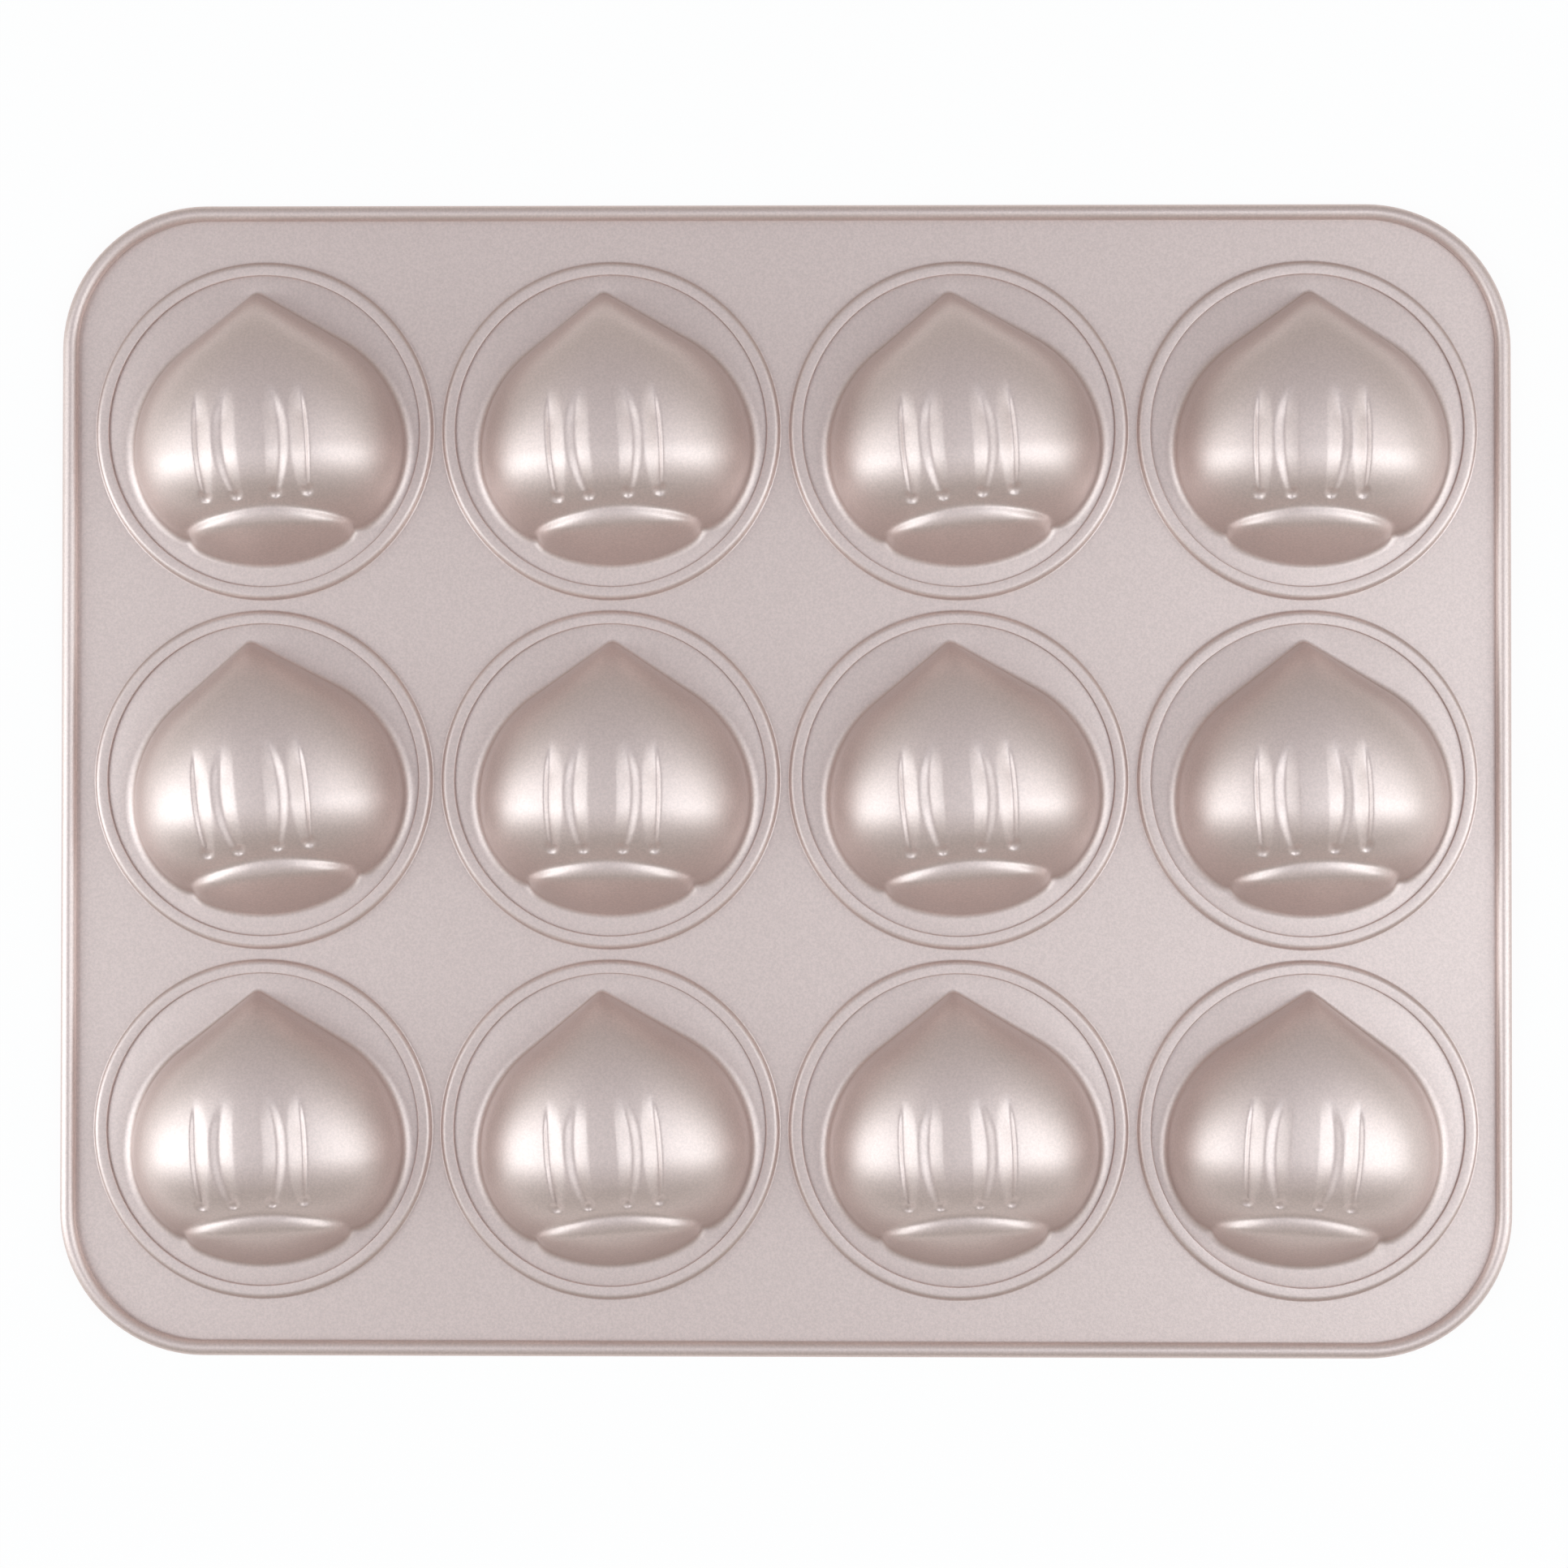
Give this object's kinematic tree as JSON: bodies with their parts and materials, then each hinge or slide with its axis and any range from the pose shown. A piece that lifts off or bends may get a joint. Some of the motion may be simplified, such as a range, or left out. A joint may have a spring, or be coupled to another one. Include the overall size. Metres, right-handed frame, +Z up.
{
  "type": "muffin pan",
  "caption": "Baking pan for half-chestnut cakes, lying face down: a carrier sheet with a rolled wired rim holds crimped-in cups in a grid, each pressed to a ribbed chestnut.",
  "frame": {"origin": "centre of the pan's outline at its lowest plane, the baking face, which the pan rests on when it lies face down", "axes": "+X along the long side, +Y along the short side towards the chestnuts' tips, +Z up out of the backs of the cups; in use the pan is turned over"},
  "size_m": [0.35, 0.278, 0.0255],
  "materials": {
    "coated_sheet": "satin non-stick coating over steel sheet",
    "wire": "drawn"
  },
  "bodies": {
    "root": {"frame": "coated_sheet", "rim_wire": "wire", "cup_r1_c1": "coated_sheet", "cup_r1_c2": "coated_sheet", "cup_r1_c3": "coated_sheet", "cup_r1_c4": "coated_sheet", "cup_r2_c1": "coated_sheet", "cup_r2_c2": "coated_sheet", "cup_r2_c3": "coated_sheet", "cup_r2_c4": "coated_sheet", "cup_r3_c1": "coated_sheet", "cup_r3_c2": "coated_sheet", "cup_r3_c3": "coated_sheet", "cup_r3_c4": "coated_sheet"}
  },
  "joints": []
}
